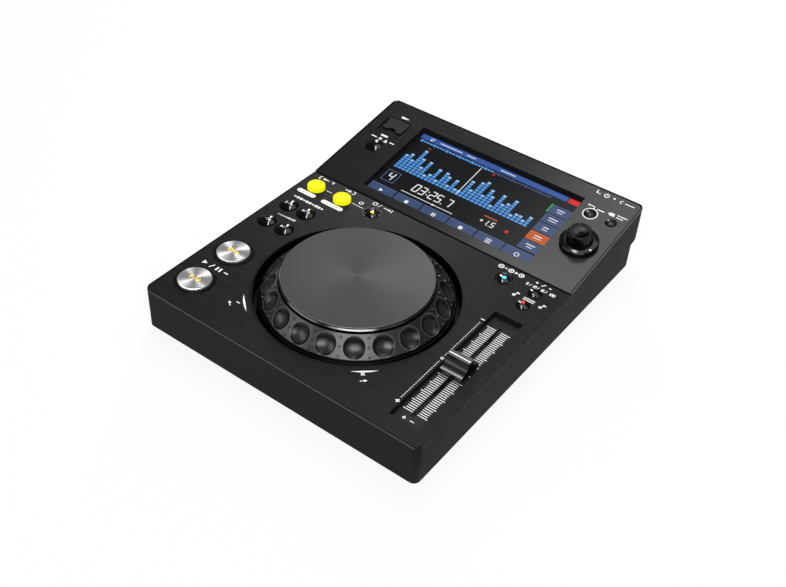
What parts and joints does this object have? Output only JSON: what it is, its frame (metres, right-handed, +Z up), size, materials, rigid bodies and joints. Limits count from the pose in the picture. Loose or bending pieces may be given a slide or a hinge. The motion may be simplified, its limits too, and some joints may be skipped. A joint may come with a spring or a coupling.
{
  "type": "dj media player",
  "caption": "Table-top media player with a large dimpled jog wheel, a long tempo fader, transport buttons and a tilted head that carries a wide display and a selector knob.",
  "frame": {"origin": "on the table, under the middle of the housing", "axes": "+X to the user's right, +Y from the user to the back, +Z up"},
  "size_m": [0.242, 0.3, 0.0623],
  "materials": {
    "case_plastic": "satin moulded black",
    "deck_metal": "black hairline",
    "head_panel_gloss": "satin black with hairlines",
    "base_steel": "matt black",
    "foot_rubber": "matt",
    "screw_steel": "blackened",
    "glass": "polished",
    "module_metal": "pressed sheet",
    "board": "solder mask",
    "supply_board": "bare laminate",
    "switch_plastic": "moulded",
    "bearing_brass": "turned",
    "gloss_black": "high gloss",
    "white_plastic": "translucent white",
    "ring_plastic": "satin",
    "shaft_steel": "ground",
    "plate_metal": "spun, bead-blasted",
    "button_metal": "spun",
    "yellow_plastic": "lit from behind",
    "cap_plastic": "satin"
  },
  "bodies": {
    "chassis": {"main_case": "case_plastic", "usb_well": "case_plastic", "jog_well": "case_plastic", "fader_tray": "case_plastic", "rear_panel": "case_plastic", "power_switch": "case_plastic", "power_inlet": "case_plastic", "deck_panel": "deck_metal", "head_panel": "head_panel_gloss", "base_plate": "base_steel", "feet": "foot_rubber", "case_screws": "screw_steel", "lid_pin": "screw_steel", "display_glass": "glass", "display_module": "module_metal", "fader_housing": "module_metal", "network_socket": "module_metal", "data_socket": "module_metal", "usb_socket": "module_metal", "selector_encoder": "module_metal", "audio_jacks": "module_metal", "main_board": "board", "key_board_left": "board", "key_board_right": "board", "head_boards": "board", "power_supply": "supply_board", "tact_switches": "switch_plastic", "jog_sensor": "switch_plastic", "jog_bearing": "bearing_brass", "transport_rims": "gloss_black", "dished_rings": "gloss_black", "back_ring": "white_plastic", "light_lenses": "white_plastic"},
    "jog": {"jog_ring": "ring_plastic", "jog_shaft": "shaft_steel", "encoder_disc": "shaft_steel"},
    "jog_top": {"jog_plate": "plate_metal"},
    "play": {"play_button": "button_metal"},
    "cue": {"cue_button": "button_metal"},
    "loop_in": {"loop_in_button": "yellow_plastic"},
    "loop_out": {"loop_out_button": "yellow_plastic"},
    "reloop": {"reloop_button": "gloss_black"},
    "track_back": {"track_back_button": "gloss_black"},
    "track_forward": {"track_forward_button": "gloss_black"},
    "search_back": {"search_back_button": "gloss_black"},
    "search_forward": {"search_forward_button": "gloss_black"},
    "vinyl": {"vinyl_button": "gloss_black"},
    "tempo_range": {"tempo_range_button": "gloss_black"},
    "master_tempo": {"master_tempo_button": "gloss_black"},
    "stop": {"stop_button": "gloss_black"},
    "back": {"back_button": "gloss_black"},
    "tag": {"tag_button": "gloss_black"},
    "fader": {"fader_cap": "cap_plastic", "fader_lever": "shaft_steel"},
    "selector_turner": {"selector_rotor": "white_plastic"},
    "selector": {"selector_shaft": "shaft_steel", "selector_knob": "gloss_black"},
    "lid": {"usb_lid": "head_panel_gloss"},
    "power": {"power_button": "gloss_black"}
  },
  "joints": [
    {"name": "jog_spin", "type": "hinge", "parent": "chassis", "child": "jog", "pos_m": [-0.0008, -0.0563, 0.04], "axis": [0, 0, 1], "continuous": true},
    {"name": "jog_touch", "type": "slide", "parent": "jog", "child": "jog_top", "axis": [0, 0, -1], "range_m": [0, 0.0005], "stiffness_N_per_m": 1500, "springref_m": -0.002},
    {"name": "play_press", "type": "slide", "parent": "chassis", "child": "play", "axis": [0, 0, -1], "range_m": [0, 0.001], "stiffness_N_per_m": 300, "springref_m": -0.003},
    {"name": "cue_press", "type": "slide", "parent": "chassis", "child": "cue", "axis": [0, 0, -1], "range_m": [0, 0.001], "stiffness_N_per_m": 300, "springref_m": -0.003},
    {"name": "loop_in_press", "type": "slide", "parent": "chassis", "child": "loop_in", "axis": [0, 0, -1], "range_m": [0, 0.001], "stiffness_N_per_m": 300, "springref_m": -0.003},
    {"name": "loop_out_press", "type": "slide", "parent": "chassis", "child": "loop_out", "axis": [0, 0, -1], "range_m": [0, 0.001], "stiffness_N_per_m": 300, "springref_m": -0.003},
    {"name": "reloop_press", "type": "slide", "parent": "chassis", "child": "reloop", "axis": [0, 0, -1], "range_m": [0, 0.001], "stiffness_N_per_m": 300, "springref_m": -0.003},
    {"name": "track_back_press", "type": "slide", "parent": "chassis", "child": "track_back", "axis": [0, 0, -1], "range_m": [0, 0.001], "stiffness_N_per_m": 300, "springref_m": -0.003},
    {"name": "track_forward_press", "type": "slide", "parent": "chassis", "child": "track_forward", "axis": [0, 0, -1], "range_m": [0, 0.001], "stiffness_N_per_m": 300, "springref_m": -0.003},
    {"name": "search_back_press", "type": "slide", "parent": "chassis", "child": "search_back", "axis": [0, 0, -1], "range_m": [0, 0.001], "stiffness_N_per_m": 300, "springref_m": -0.003},
    {"name": "search_forward_press", "type": "slide", "parent": "chassis", "child": "search_forward", "axis": [0, 0, -1], "range_m": [0, 0.001], "stiffness_N_per_m": 300, "springref_m": -0.003},
    {"name": "vinyl_press", "type": "slide", "parent": "chassis", "child": "vinyl", "axis": [0, 0, -1], "range_m": [0, 0.001], "stiffness_N_per_m": 300, "springref_m": -0.003},
    {"name": "tempo_range_press", "type": "slide", "parent": "chassis", "child": "tempo_range", "axis": [0, 0, -1], "range_m": [0, 0.001], "stiffness_N_per_m": 300, "springref_m": -0.003},
    {"name": "master_tempo_press", "type": "slide", "parent": "chassis", "child": "master_tempo", "axis": [0, 0, -1], "range_m": [0, 0.001], "stiffness_N_per_m": 300, "springref_m": -0.003},
    {"name": "stop_press", "type": "slide", "parent": "chassis", "child": "stop", "axis": [0, 0.1594, -0.9872], "range_m": [0, 0.001], "stiffness_N_per_m": 300, "springref_m": -0.003},
    {"name": "back_press", "type": "slide", "parent": "chassis", "child": "back", "axis": [0, 0.1594, -0.9872], "range_m": [0, 0.001], "stiffness_N_per_m": 300, "springref_m": -0.003},
    {"name": "tag_press", "type": "slide", "parent": "chassis", "child": "tag", "axis": [0, 0.1594, -0.9872], "range_m": [0, 0.001], "stiffness_N_per_m": 300, "springref_m": -0.003},
    {"name": "fader_slide", "type": "slide", "parent": "chassis", "child": "fader", "axis": [0, 1, 0], "range_m": [-0.05, 0.05]},
    {"name": "selector_turn", "type": "hinge", "parent": "chassis", "child": "selector_turner", "pos_m": [0.09897, 0.08789, 0.04792], "axis": [0, -0.1594, 0.9872], "continuous": true},
    {"name": "selector_press", "type": "slide", "parent": "selector_turner", "child": "selector", "axis": [0, 0.1594, -0.9872], "range_m": [0, 0.0006], "stiffness_N_per_m": 300, "springref_m": -0.003},
    {"name": "lid_hinge", "type": "hinge", "parent": "chassis", "child": "lid", "pos_m": [-0.09957, 0.12834, 0.05338], "axis": [-1, 0, 0], "range_deg": [0, 95]},
    {"name": "power_press", "type": "slide", "parent": "chassis", "child": "power", "axis": [0, -1, 0], "range_m": [0, 0.0015], "stiffness_N_per_m": 300, "springref_m": -0.003}
  ]
}
